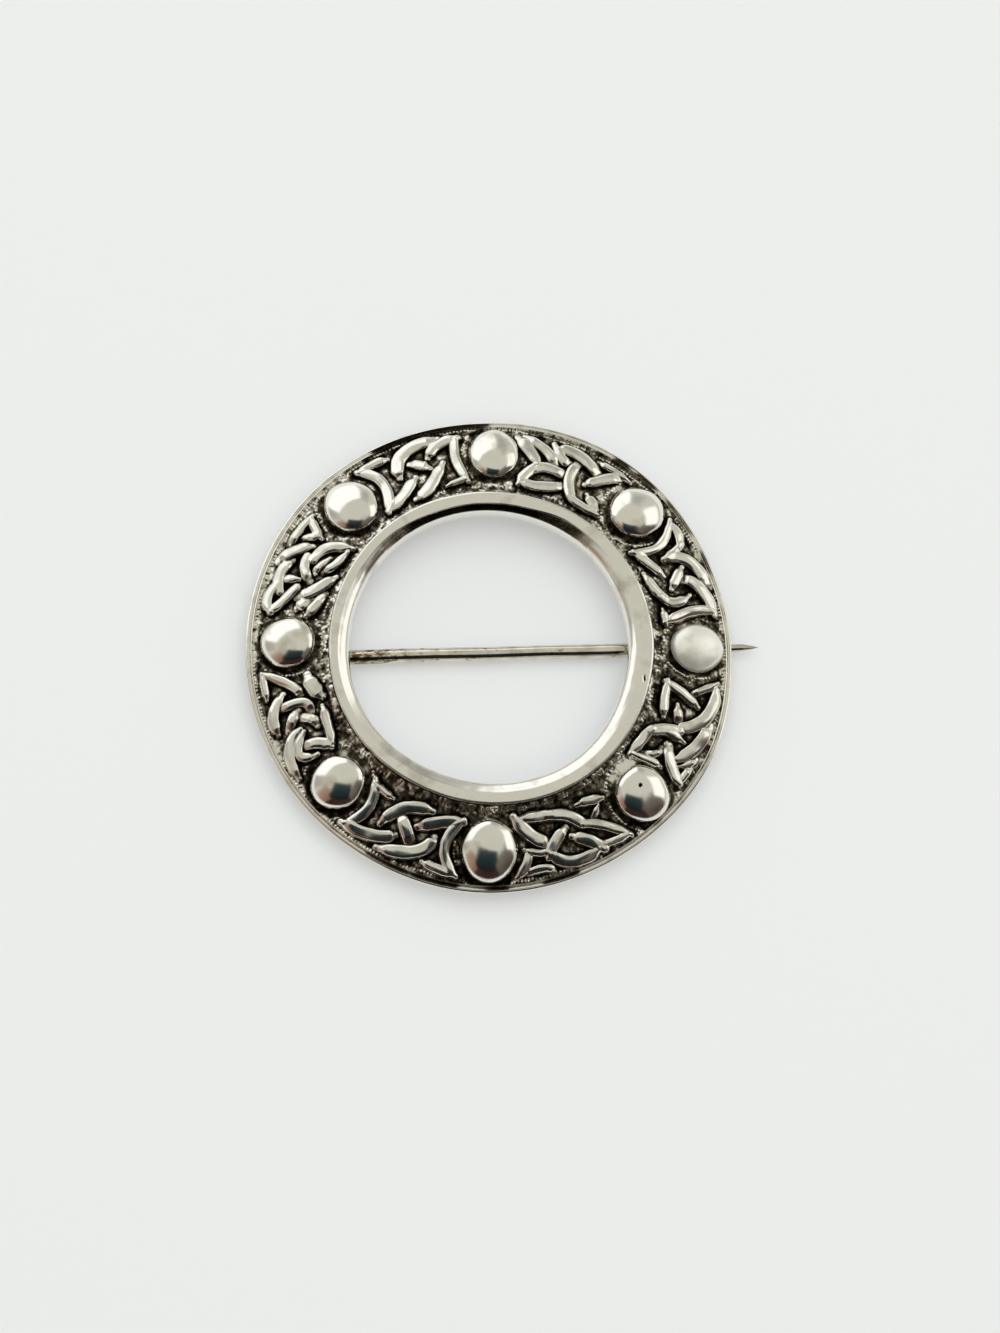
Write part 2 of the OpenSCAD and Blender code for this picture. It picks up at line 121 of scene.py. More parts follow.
# Knotwork. One row for each stretch of strand between two crossings, by its centre line:
# start degrees, start radius, halfway degrees, halfway radius, end degrees, end radius, width.
# Degrees are measured from the middle of the panel, halfway between two even boss places.
PANELS = {
    "right_up": [
        (14.8, 21.2, 10.4, 18.6, 12.8, 16.1, 0.70),
        (14.4, 21.1, 11.0, 21.1, 8.0, 20.6, 0.75),
        (8.0, 20.7, 7.0, 19.6, 6.3, 18.4, 0.65),
        (6.2, 18.5, 3.8, 20.4, -3.0, 21.3, 0.90),
        (2.2, 19.6, -0.2, 18.7, -2.7, 17.9, 0.80),
        (12.6, 16.3, 7.5, 16.9, 1.8, 17.6, 0.75),
        (4.3, 16.0, -1.5, 16.3, -5.2, 16.9, 0.80),
        (-4.6, 16.7, -7.2, 17.7, -6.0, 19.2, 0.80),
        (-1.2, 19.5, -5.0, 20.6, -11.8, 21.2, 0.95),
        (-11.5, 21.2, -10.5, 19.2, -12.9, 16.4, 0.80),
        (-8.8, 16.4, -11.0, 16.4, -13.4, 16.4, 0.60),
    ],
    "top_right": [
        (14.8, 21.1, 11.4, 19.9, 8.2, 18.7, 1.00),
        (12.2, 21.1, 7.5, 20.4, 4.2, 19.3, 0.80),
        (12.8, 16.3, 11.2, 17.3, 9.2, 18.1, 0.85),
        (9.9, 17.9, 6.0, 18.5, 0.8, 18.4, 0.90),
        (12.4, 16.4, 6.0, 16.4, -0.2, 17.2, 0.90),
        (0.4, 19.7, 3.0, 20.1, 5.5, 21.1, 0.80),
        (4.0, 20.9, -1.0, 21.0, -7.6, 20.1, 0.95),
        (-2.0, 20.0, -1.7, 18.2, -4.0, 16.8, 0.90),
        (-3.2, 16.9, -7.0, 16.3, -14.5, 16.3, 0.70),
        (-7.2, 21.2, -11.0, 21.2, -15.8, 21.2, 0.50),
        (-12.8, 20.9, -9.4, 19.6, -6.6, 18.5, 0.85),
        (-8.8, 17.6, -10.8, 17.2, -13.2, 16.8, 0.80),
    ],
    "top_left": [
        (12.6, 21.2, 9.0, 18.7, 12.8, 16.1, 0.85),
        (12.5, 21.1, 8.5, 21.1, 4.6, 20.9, 0.70),
        (4.0, 18.7, 0.6, 20.7, -7.8, 21.2, 1.05),
        (-0.3, 19.5, -2.6, 19.1, -5.0, 18.5, 0.90),
        (12.6, 16.2, 6.0, 16.8, 0.0, 18.0, 0.90),
        (2.6, 15.9, -3.5, 16.7, -9.0, 18.6, 0.95),
        (-5.6, 19.6, -9.0, 20.6, -14.3, 21.1, 0.85),
        (-14.2, 21.1, -12.9, 18.9, -15.4, 16.4, 0.75),
        (-8.6, 16.2, -12.0, 16.4, -15.2, 16.5, 0.50),
    ],
    "left_up": [
        (12.0, 20.5, 8.4, 19.6, 4.0, 18.8, 0.75),
        (12.0, 20.5, 9.0, 21.1, 5.0, 20.8, 0.75),
        (6.0, 20.2, 2.2, 20.7, -2.0, 20.4, 0.85),
        (2.6, 20.1, 2.0, 19.5, 1.6, 18.9, 0.70),
        (10.0, 18.2, 8.9, 17.9, 7.6, 17.4, 0.85),
        (11.8, 17.1, 9.0, 16.6, 5.0, 16.2, 0.80),
        (6.2, 18.2, 3.2, 17.0, -2.4, 15.7, 0.95),
        (0.4, 18.1, -2.2, 18.8, -5.4, 19.1, 0.80),
        (-2.4, 21.2, -5.8, 20.4, -8.8, 19.2, 0.85),
        (-7.4, 21.1, -11.5, 21.1, -16.0, 21.0, 0.65),
        (-15.5, 20.9, -13.6, 20.0, -12.2, 18.9, 0.70),
        (-10.6, 20.0, -11.4, 19.6, -12.0, 19.2, 0.70),
        (-5.4, 18.4, -10.4, 17.8, -14.0, 15.9, 0.85),
        (-3.6, 16.8, -7.0, 16.3, -12.0, 16.0, 0.65),
        (-2.4, 17.7, -4.2, 17.6, -6.6, 17.3, 0.60),
    ],
    "left_low": [
        (11.6, 21.1, 4.6, 20.6, 1.0, 19.0, 0.80),
        (9.4, 18.8, 6.9, 20.0, 2.4, 18.9, 0.75),
        (9.8, 17.2, 7.2, 17.9, 5.6, 19.1, 0.85),
        (9.0, 16.9, 3.5, 16.5, -2.6, 16.3, 0.75),
        (1.2, 17.3, -0.4, 17.6, -1.8, 18.2, 0.80),
        (-0.8, 19.7, -2.2, 19.3, -3.6, 18.8, 0.80),
        (-0.5, 20.9, -5.4, 20.7, -9.8, 19.5, 0.85),
        (-3.6, 17.4, -6.2, 18.0, -6.4, 19.8, 0.75),
        (-9.0, 17.9, -12.6, 18.8, -16.4, 20.9, 0.70),
        (-9.8, 20.9, -13.0, 20.9, -16.4, 21.0, 0.60),
        (-6.4, 16.0, -9.6, 16.6, -13.6, 16.9, 1.20),
    ],
    "low_left": [
        (13.5, 21.2, 9.6, 18.8, 13.5, 16.4, 0.80),
        (13.0, 21.2, 8.5, 20.9, 5.0, 20.6, 0.75),
        (6.2, 18.4, 2.5, 20.0, -6.6, 21.0, 1.00),
        (0.2, 19.4, -2.2, 18.5, -4.6, 17.7, 0.95),
        (13.5, 16.5, 7.0, 16.9, 0.8, 17.9, 0.90),
        (3.0, 16.2, -5.0, 16.9, -9.0, 19.0, 0.95),
        (-4.2, 19.4, -9.0, 20.3, -17.5, 21.0, 0.90),
        (-17.0, 20.9, -14.3, 18.4, -17.8, 16.2, 0.80),
        (-9.8, 16.6, -13.0, 16.6, -16.8, 16.5, 0.60),
    ],
    "low_right": [
        (14.2, 21.2, 9.8, 19.4, 5.2, 18.4, 0.75),
        (13.5, 21.2, 10.5, 21.0, 7.6, 20.7, 0.60),
        (6.8, 21.0, 3.9, 19.8, 0.6, 18.9, 0.90),
        (5.2, 21.0, -1.5, 21.0, -7.0, 19.8, 0.90),
        (-7.3, 20.0, -4.6, 18.9, -0.6, 18.0, 0.90),
        (4.6, 18.2, 1.0, 17.0, -4.0, 16.5, 0.90),
        (-3.4, 16.5, -7.5, 16.3, -13.0, 16.2, 0.85),
        (-6.6, 18.7, -10.8, 17.8, -15.2, 16.0, 1.00),
        (13.2, 17.2, 9.5, 16.8, 5.6, 16.6, 0.70),
        (11.0, 17.6, 9.6, 17.9, 8.4, 18.2, 0.50),
        (-6.8, 21.3, -8.5, 20.9, -13.0, 20.9, 0.60),
        (-16.0, 21.2, -13.8, 20.4, -12.2, 19.3, 0.70),
        (-8.0, 19.5, -10.4, 19.4, -13.0, 19.0, 0.55),
    ],
    "right_low": [
        (14.6, 21.1, 12.6, 20.1, 10.6, 19.1, 0.60),
        (12.8, 21.1, 5.6, 20.8, 0.4, 19.1, 1.00),
        (7.3, 19.7, 9.6, 18.2, 11.9, 16.4, 0.75),
        (12.2, 16.5, 6.5, 16.6, 1.2, 17.0, 0.75),
        (5.8, 17.9, 3.4, 18.2, 1.6, 18.4, 0.75),
        (-1.0, 18.8, -2.6, 17.6, -5.0, 16.5, 0.95),
        (-4.6, 16.5, -9.0, 16.2, -15.0, 16.1, 0.80),
        (2.6, 21.2, -3.0, 20.8, -8.0, 19.9, 1.00),
        (-3.2, 19.6, -3.0, 18.6, -3.4, 17.6, 0.60),
        (-6.0, 21.3, -7.6, 21.0, -9.4, 20.4, 0.50),
        (-8.4, 21.2, -10.6, 21.2, -12.8, 21.2, 0.60),
        (-12.8, 21.2, -10.9, 19.9, -7.0, 18.7, 0.90),
        (-12.4, 18.9, -13.0, 17.8, -14.8, 16.3, 0.60),
        (-8.8, 18.1, -10.5, 17.9, -12.0, 17.3, 0.60),
    ],
}
SECTOR = 360 / len(PANELS)

# The casting was made from a hand-cut pattern. How far its edges stray from a true circle: degrees, and
# how far out, for the rim, the open middle, the collar's foot and the collar's ridge
RIM_STRAY = [(0, -0.12), (15, -0.22), (55, 0.16), (95, -0.12), (140, 0.08), (195, -0.12),
             (232, -0.08), (265, 0.16), (300, 0.02), (332, 0.2)]
HOLE_STRAY = [(0, -0.24), (45, -0.05), (120, 0.08), (165, -0.04), (205, 0.1), (250, -0.15),
              (300, 0.07), (345, -0.32)]
COLLAR_STRAY = [(0, 0.12), (90, -0.33), (180, -0.25), (270, 0.0)]
RIDGE_STRAY = [(0, 0.0), (55, -0.05), (75, -0.42), (108, -0.42), (135, -0.05), (180, 0.0)]
# How dark the rim's groove and the beads beside it are drawn: degrees, and the share. It is black oxide,
# with painted shade and painted dark reflection added, most on the far side
RIM_BLACK = [(0, 0.05), (35, 0.35), (60, 0.45), (80, 0.25), (95, 0.55), (114, 0.65), (130, 0.1),
             (165, 0.0), (225, 0.05), (250, 0.4), (290, 0.4), (325, 0.1)]


# Camera

def aim_camera():
    """The photo's view: a near-plan view from the low side, the camera rolled a little."""
    elevation = math.radians(74)
    far_azimuth = math.radians(79.2)
    roll = math.radians(-9)
    distance = 350
    pixels_per_mm = 10.846
    sensor_mm = 24
    photo_w, photo_h = 1000, 1333
    ring_at_x, ring_at_y = 489.3, 653.9
    far = Vector((math.cos(far_azimuth), math.sin(far_azimuth), 0))
    across = Vector((math.sin(far_azimuth), -math.cos(far_azimuth), 0))
    back = Vector((-far.x * math.cos(elevation), -far.y * math.cos(elevation), math.sin(elevation)))
    above = far * math.sin(elevation) + Vector((0, 0, math.cos(elevation)))
    right = across * math.cos(roll) - above * math.sin(roll)
    up = across * math.sin(roll) + above * math.cos(roll)
    target = (Vector((0, 0, RIM_Z))
              + right * (photo_w / 2 - ring_at_x) / pixels_per_mm
              - up * (photo_h / 2 - ring_at_y) / pixels_per_mm)
    data = bpy.data.cameras.new("photo_view")
    data.sensor_fit = "VERTICAL"
    data.sensor_height = sensor_mm
    data.lens = sensor_mm * distance * pixels_per_mm / photo_h
    data.clip_start = 0.01
    camera = bpy.data.objects.new("photo_view", data)
    bpy.context.scene.collection.objects.link(camera)
    turn = Matrix((right, up, back)).transposed().to_4x4()
    camera.matrix_world = Matrix.Translation((target + back * distance) * MM) @ turn
    bpy.context.scene.camera = camera


aim_camera()


# Small helpers for shapes

def smooth_step(x, low, high):
    """0 below low, 1 above high, and a soft step between; low may be above high."""
    t = np.clip((x - low) / (high - low), 0, 1)
    return t * t * (3 - 2 * t)


def stray(table, deg):
    """A soft curve through a table of degrees and millimetres that closes on itself."""
    places = np.array([row[0] for row in table] + [360 + table[0][0]])
    values = np.array([row[1] for row in table] + [table[0][1]])
    deg = (np.asarray(deg) - places[0]) % 360 + places[0]
    k = np.clip(np.searchsorted(places, deg, side="right") - 1, 0, len(table) - 1)
    t = smooth_step((deg - places[k]) / (places[k + 1] - places[k]), 0, 1)
    return values[k] * (1 - t) + values[k + 1] * t


def hand_made(deg, r):
    """A radius as the hand-cut casting has it."""
    foot_reach, ridge_reach = 0.9, 0.45
    share = np.clip((r - HOLE_R) / (OUTER_R - HOLE_R), 0, 1)
    at_collar = np.exp(-((r - GROUND_IN_R) / foot_reach) ** 2)
    at_ridge = np.exp(-((r - GROUND_IN_R + COLLAR_FLAT) / ridge_reach) ** 2)
    return (r + share * stray(RIM_STRAY, deg) + (1 - share) * stray(HOLE_STRAY, deg)
            + at_collar * stray(COLLAR_STRAY, deg) + at_ridge * stray(RIDGE_STRAY, deg))


def lumps(x, y, size, seed):
    """Soft noise from -1 to 1 with lumps of a given size, the same in every run."""
    cells = 256
    table = np.random.RandomState(seed).uniform(-1, 1, (cells, cells))
    u, v = x / size, y / size
    i, j = np.floor(u).astype(int), np.floor(v).astype(int)
    s, t = smooth_step(u - i, 0, 1), smooth_step(v - j, 0, 1)
    i0, j0, i1, j1 = i % cells, j % cells, (i + 1) % cells, (j + 1) % cells
    low = table[i0, j0] * (1 - s) + table[i1, j0] * s
    high = table[i0, j1] * (1 - s) + table[i1, j1] * s
    return low * (1 - t) + high * t


def ground_z(r):
    """Height of the sunk ground at a radius."""
    return RIM_Z + GROUND_LOW + (GROUND_OUT_R - r) * GROUND_SLOPE


def vertices_of(mesh):
    """A mesh's points, a row of x, y and z for each."""
    co = np.empty(len(mesh.vertices) * 3)
    mesh.vertices.foreach_get("co", co)
    return co.reshape(-1, 3)


def set_surface(mesh, co, soil):
    """Moves a mesh's points to places in millimetres and says how black each is, 0 to 1."""
    mesh.vertices.foreach_set("co", (co * MM).ravel())
    mesh.attributes.new("soil", "FLOAT", "POINT").data.foreach_set("value", np.clip(soil, 0, 1))
    mesh.update()


def finish_piece(bm, name, body, node=None, materials=()):
    """Turns a bmesh in metres into a smooth-shaded piece that rides on a body."""
    mesh = bpy.data.meshes.new(name)
    bm.to_mesh(mesh)
    bm.free()
    for polygon in mesh.polygons:
        polygon.use_smooth = True
    for material in materials:
        mesh.materials.append(material)
    piece = bpy.data.objects.new(name, mesh)
    bpy.context.scene.collection.objects.link(piece)
    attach(piece, body)
    if node:
        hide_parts(node)
    return piece


def spun(profile, steps, centre=(0, 0, 0), axis=(0, 0, 1)):
    """A bmesh of a closed profile, its points in metres, turned once about an axis."""
    bm = bmesh.new()
    points = [bm.verts.new(p) for p in profile]
    edges = [bm.edges.new((a, b)) for a, b in zip(points, points[1:] + points[:1])]
    bmesh.ops.spin(bm, geom=points + edges, cent=centre, axis=axis, angle=math.tau,
                   steps=steps, use_merge=True)
    bmesh.ops.remove_doubles(bm, verts=bm.verts, dist=1e-7)
    bmesh.ops.dissolve_degenerate(bm, edges=bm.edges, dist=1e-8)
    bmesh.ops.recalc_face_normals(bm, faces=bm.faces)
    return bm


def rounded(corners, steps=4):
    """A closed outline with round corners. Each corner is across, up and radius, in millimetres, or
    across, up, and how far before and after it the rounding starts and ends."""
    points_per_mm = 8
    outline = []
    count = len(corners)
    for k, (x, y, *cuts) in enumerate(corners):
        here = Vector((x, y))
        if cuts == [0]:
            outline.append(here)
            continue
        before = Vector(corners[k - 1][:2]) - here
        after = Vector(corners[(k + 1) % count][:2]) - here
        if len(cuts) == 1:
            cut = cuts[0] / math.tan(before.angle(after) / 2)
            cuts = [min(cut, before.length * 0.49, after.length * 0.49)] * 2
        start, end = here + before.normalized() * cuts[0], here + after.normalized() * cuts[1]
        fine = max(steps, math.ceil(sum(cuts) * points_per_mm))
        for i in range(fine + 1):
            t = i / fine
            outline.append(start * (1 - t) ** 2 + here * 2 * t * (1 - t) + end * t * t)
    return outline


def fine_line(outline, above, step):
    """The same closed outline, with extra points where it runs above a height."""
    points = []
    for here, after in zip(outline, outline[1:] + outline[:1]):
        parts = max(1, math.ceil((after - here).length / step)) if min(here.y, after.y) > above else 1
        points += [here.lerp(after, i / parts) for i in range(parts)]
    return points


# Materials

def linear(code, alpha=1.0):
    """An sRGB hex colour as linear values."""
    parts = [int(code[i:i + 2], 16) / 255 for i in (1, 3, 5)]
    return tuple(c / 12.92 if c <= 0.04045 else ((c + 0.055) / 1.055) ** 2.4 for c in parts) + (alpha,)


def add(tree, kind, inputs=None, stops=(), **settings):
    """Adds a node, sets its properties, and fills or links its inputs. A colour ramp also has stops,
    each a place and an sRGB hex colour."""
    made = tree.nodes.new(kind)
    for key, value in settings.items():
        setattr(made, key, value)
    for key, value in (inputs or {}).items():
        if isinstance(value, bpy.types.NodeSocket):
            tree.links.new(value, made.inputs[key])
        else:
            made.inputs[key].default_value = value
    for _ in stops[2:]:
        made.color_ramp.elements.new(0.5)
    for k, (place, code) in enumerate(stops):
        made.color_ramp.elements[k].position = place
        made.color_ramp.elements[k].color = linear(code)
    return made


def once_in(size_mm):
    """The scale of a noise whose lumps are about size_mm across, on coordinates in metres."""
    return 1 / (size_mm * MM)


def new_material(name):
    """A metal to start from, with its node tree and its shader."""
    made = bpy.data.materials.new(name)
    made.use_nodes = True
    tree = made.node_tree
    tree.nodes.clear()
    shader = add(tree, "ShaderNodeBsdfPrincipled")
    add(tree, "ShaderNodeOutputMaterial", {"Surface": shader.outputs["BSDF"]})
    shader.inputs["Metallic"].default_value = 1.0
    return made, tree, shader


def worked_silver(name, tone, low, high, scratch, film=0.0):
    """Sterling silver, polished on a cloth wheel and then worn. Where the mesh's black attribute is set it
    is blackened with liver of sulphur, which the wheel rubbed back from all that stands proud. The same
    attribute also carries painted shade and painted dark reflections.

    It gives sharp, slightly warm reflections, broken by hair scratches and cloudy patches of handling,
    and in the sunk places a sooty brown-black with duller grey grains. A film of dried polish, where
    there is one, scatters light and makes the metal look whiter and softer.
    """
    made, tree, shader = new_material(name)
    place = add(tree, "ShaderNodeTexCoord").outputs["Object"]
    soil = add(tree, "ShaderNodeAttribute", attribute_name="soil").outputs["Fac"]
    clouds = add(tree, "ShaderNodeTexNoise", {
        "Vector": place, "Scale": once_in(2.2), "Detail": 3}).outputs["Fac"]
    grains = add(tree, "ShaderNodeTexNoise", {
        "Vector": place, "Scale": once_in(0.2), "Detail": 4, "Roughness": 0.7}).outputs["Fac"]
    # Hair scratches, drawn coarser than real ones so that they show
    drawn_out = add(tree, "ShaderNodeMapping", {"Vector": place, "Scale": (1, 0.12, 0.4)})
    hairs = add(tree, "ShaderNodeTexNoise", {
        "Vector": drawn_out.outputs["Vector"], "Scale": once_in(0.1)}).outputs["Fac"]
    uneven = add(tree, "ShaderNodeMath", {0: grains, 1: 0.5}, operation="SUBTRACT").outputs[0]
    spread = add(tree, "ShaderNodeMath", {0: soil, 1: 1.1},
                 operation="MULTIPLY", use_clamp=True).outputs[0]
    uneven = add(tree, "ShaderNodeMath", {0: uneven, 1: spread}, operation="MULTIPLY").outputs[0]
    depth = add(tree, "ShaderNodeMath", {0: uneven, 1: 1.3, 2: soil},
                operation="MULTIPLY_ADD").outputs[0]
    clean = add(tree, "ShaderNodeValToRGB", {"Fac": clouds}, [
        (0.3, tone), (0.55, "#f3f2ea"), (0.75, "#cfcabd")]).outputs["Color"]
    sooty = add(tree, "ShaderNodeValToRGB", {"Fac": depth}, [
        (0.15, "#ffffff"), (0.35, "#a9a297"), (0.55, "#5e574d"), (0.8, "#2a2520"),
        (1.0, "#0d0b09")]).outputs["Color"]
    colour = add(tree, "ShaderNodeMix", {0: 1.0, 6: clean, 7: sooty},
                 data_type="RGBA", blend_type="MULTIPLY").outputs[2]
    shine = add(tree, "ShaderNodeMapRange", {
        "Value": clouds, "From Min": 0.3, "From Max": 0.75, "To Min": low, "To Max": high}).outputs[0]
    dull = add(tree, "ShaderNodeMapRange", {
        "Value": depth, "From Min": 0.05, "From Max": 0.5, "To Min": 0.0, "To Max": 0.45}).outputs[0]
    rough = add(tree, "ShaderNodeMath", {0: shine, 1: dull}, operation="ADD", use_clamp=True).outputs[0]
    relief = add(tree, "ShaderNodeBump", {
        "Height": hairs, "Strength": scratch, "Distance": 0.012 * MM})
    relief = add(tree, "ShaderNodeBump", {
        "Height": grains, "Strength": spread, "Distance": 0.03 * MM, "Normal": relief.outputs["Normal"]})
    tree.links.new(colour, shader.inputs["Base Color"])
    tree.links.new(rough, shader.inputs["Roughness"])
    tree.links.new(relief.outputs["Normal"], shader.inputs["Normal"])
    shader.inputs["Metallic"].default_value = 1 - film
    return made


def cast_back(name):
    """Sterling silver as it left the sand mould, pickled and lightly brushed, never polished.

    It gives a dull, grainy, greyish-white sheen with darker tarnish in the pits.
    """
    made, tree, shader = new_material(name)
    place = add(tree, "ShaderNodeTexCoord").outputs["Object"]
    stains = add(tree, "ShaderNodeTexNoise", {
        "Vector": place, "Scale": once_in(3.5), "Detail": 4}).outputs["Fac"]
    grit = add(tree, "ShaderNodeTexNoise", {
        "Vector": place, "Scale": once_in(0.25), "Detail": 4, "Roughness": 0.75}).outputs["Fac"]
    both = add(tree, "ShaderNodeMath", {0: grit, 1: 0.45, 2: stains}, operation="MULTIPLY_ADD").outputs[0]
    colour = add(tree, "ShaderNodeValToRGB", {"Fac": both}, [
        (0.45, "#7d756a"), (0.62, "#b9b3a8"), (0.85, "#d6d1c8")]).outputs["Color"]
    relief = add(tree, "ShaderNodeBump", {"Height": grit, "Strength": 0.5, "Distance": 0.05 * MM})
    tree.links.new(colour, shader.inputs["Base Color"])
    shader.inputs["Roughness"].default_value = 0.42
    tree.links.new(relief.outputs["Normal"], shader.inputs["Normal"])
    return made


def drawn_wire(name):
    """Nickel silver wire, drawn through a plate and filed to a point.

    It gives a slightly warm shine, drawn out lengthwise by the marks of the plate, and brown spots of
    tarnish towards the hinge, where the polishing cloth didn't reach; they grow darker towards the collar's
    inner edge as painted shade.
    """
    made, tree, shader = new_material(name)
    place = add(tree, "ShaderNodeTexCoord").outputs["Object"]
    # The marks of the plate, drawn coarser than real ones so that they show
    drawn_out = add(tree, "ShaderNodeMapping", {"Vector": place, "Scale": (0.06, 1, 1)})
    drawn = add(tree, "ShaderNodeTexNoise", {
        "Vector": drawn_out.outputs["Vector"], "Scale": once_in(0.12), "Detail": 3}).outputs["Fac"]
    stains = add(tree, "ShaderNodeTexNoise", {
        "Vector": place, "Scale": once_in(1.6), "Detail": 3}).outputs["Fac"]
    oblong = add(tree, "ShaderNodeMapping", {"Vector": place, "Scale": (0.5, 1, 1)}).outputs["Vector"]
    spots = add(tree, "ShaderNodeTexNoise", {
        "Vector": oblong, "Scale": once_in(0.5), "Detail": 3, "Roughness": 0.65}).outputs["Fac"]
    along = add(tree, "ShaderNodeSeparateXYZ", {"Vector": place}).outputs["X"]
    # Painted shade: the brown spots thicken towards the collar's inner edge, where the pin runs in under
    # the ring
    hinge_end = add(tree, "ShaderNodeMapRange", {
        "Value": along, "From Min": -13 * MM, "From Max": -3 * MM, "To Min": 0.19, "To Max": 0}).outputs[0]
    marked = add(tree, "ShaderNodeMath", {0: spots, 1: hinge_end}, operation="ADD").outputs[0]
    plain = add(tree, "ShaderNodeValToRGB", {"Fac": stains}, [
        (0.3, "#c9c2b2"), (0.55, "#e2ddd0"), (0.8, "#efece2")]).outputs["Color"]
    brown = add(tree, "ShaderNodeValToRGB", {"Fac": marked}, [
        (0.6, "#ffffff"), (0.72, "#a08a70"), (0.85, "#5d4631")]).outputs["Color"]
    colour = add(tree, "ShaderNodeMix", {0: 1.0, 6: plain, 7: brown},
                 data_type="RGBA", blend_type="MULTIPLY").outputs[2]
    relief = add(tree, "ShaderNodeBump", {"Height": drawn, "Strength": 0.2, "Distance": 0.01 * MM})
    tree.links.new(colour, shader.inputs["Base Color"])
    shader.inputs["Roughness"].default_value = 0.1
    tree.links.new(relief.outputs["Normal"], shader.inputs["Normal"])
    return made


bright_silver = worked_silver("sterling_silver_wheel_polished", "#f0eee8", 0.1, 0.2, 0.16)
worn_silver = worked_silver("sterling_silver_rubbed_dull", "#f4f2ec", 0.3, 0.42, 0.35, film=0.35)
relief_silver = worked_silver("sterling_silver_oxidised_rubbed_back_painted_shade", "#dedcd1", 0.11, 0.22, 0.25)
back_silver = cast_back("sterling_silver_as_cast")
nickel_wire = drawn_wire("nickel_silver_drawn_wire")


# The body of the casting, spun from one section: back, open middle, collar, bed of the knotwork, rim

TOP_Z = RIM_Z + COLLAR_TOP
RIDGE_R = GROUND_IN_R - COLLAR_FLAT


def body_section():
    """The body's section, from the back round the rim, the bed and the collar to the open middle."""
    z = RIM_Z
    inner_bed = GROUND_IN_R + 0.1
    outer_bed = GROUND_OUT_R + 0.15
    corners = [
        (HOLE_R, z + BACK_HIGH, 0.12), (OUTER_R - 0.6, z + 0.02, 0.1), (OUTER_R - 0.15, z, 0.1),
        (OUTER_R, z + 0.2, 0.1), (OUTER_R - 0.01, z + 0.56, 0.08), (OUTER_R - 0.16, z + 0.68, 0.06),
        (OUTER_R - 0.22, z + 0.54, 0.05), (OUTER_R - 0.44, z + 0.56, 0.05),
        (OUTER_R - 0.48, z + 0.84, 0.06), (RIM_IN_R + 0.03, z + 0.9, 0.05), (RIM_IN_R, z + 0.45, 0),
        (outer_bed, ground_z(outer_bed) - BED_ROOT, 0), (inner_bed, ground_z(inner_bed) - BED_ROOT, 0),
        (inner_bed, ground_z(inner_bed) - 0.02, 0.05), (GROUND_IN_R, z + GROUND_HIGH + 0.1, 0.05),
        (GROUND_IN_R - 0.02, TOP_Z - 0.04, 0.26, 0.3), (RIDGE_R, TOP_Z, 0.1, 0.16),
        (HOLE_R + 0.06, TOP_Z - 0.42, 0.7, 0.7), (HOLE_R, TOP_Z - 1.3, 0.1),
    ]
    return fine_line(rounded(corners, 5), TOP_Z - 0.5, 0.1)


def work_marks(x, y, z, r, turn, face):
    """How far the marks of filing and polishing raise or sink each place on the body."""
    # Slow dips on the collar and the rim
    dips = face * (0.02 * lumps(x, y, 2.4, 5) + 0.008 * lumps(x, y, 0.8, 6))
    # Shallow lines that the polishing wheel left along the collar
    lines = (np.sin(math.tau * r / 0.34 + 2 * np.sin(3 * turn) + np.sin(7 * turn + 1))
             + np.sin(math.tau * r / 0.57 + 3 * np.cos(2 * turn)))
    on_collar = smooth_step(z + dips, TOP_Z - 0.6, TOP_Z - 0.2)
    return dips + 0.004 * lines * (0.6 + lumps(x, y, 3, 8)) * on_collar


def collar_soil(x, y, z, r, turn):
    """The black oxide that stayed on the collar, with painted shade and a painted dark reflection."""
    foot = smooth_step(r, GROUND_IN_R - 0.07, GROUND_IN_R) * smooth_step(r, GROUND_OUT_R, GROUND_IN_R + 1)
    foot = foot * smooth_step(z, TOP_Z + 0.1, TOP_Z - 0.3)
    # Above the foot it thins out to a brown tarnish, made darker on the side that is near the viewer by
    # painted shade
    shade = (smooth_step(r, GROUND_IN_R - 0.45, GROUND_IN_R - 0.05)
             * smooth_step(r, GROUND_IN_R + 0.3, GROUND_IN_R)
             * (0.2 - 0.07 * np.sin(turn) + 0.12 * lumps(x, y, 1.3, 20)))
    # Painted dark reflection: on the side away from the viewer the collar's inner slope is drawn black
    down = TOP_Z - z
    slope = (smooth_step(down, 0.02, 0.14) * smooth_step(down, 0.75, 0.55)
             * smooth_step(r, RIDGE_R + 0.1, RIDGE_R)
             * smooth_step(np.sin(turn) + 0.1 * lumps(x, y, 1.1, 19), 0.62, 0.98))
    return np.maximum(np.maximum(0.85 * foot, shade), slope)


def groove_soil(x, y, r, deg):
    """The black in broken stretches in the groove of the rim: oxide, with painted shade and painted dark
    reflection from RIM_BLACK.
    """
    from_line = r - OUTER_R + 0.4
    left = stray(RIM_BLACK, deg)
    broken = smooth_step(lumps(x, y, 1.6, 9) + left, 0.0, 0.6)
    wide = 1.5 * np.exp(-(from_line / 0.22) ** 4) * left * broken
    thin = 0.25 * np.exp(-(from_line / 0.07) ** 2)
    return 1.1 * (wide + thin)


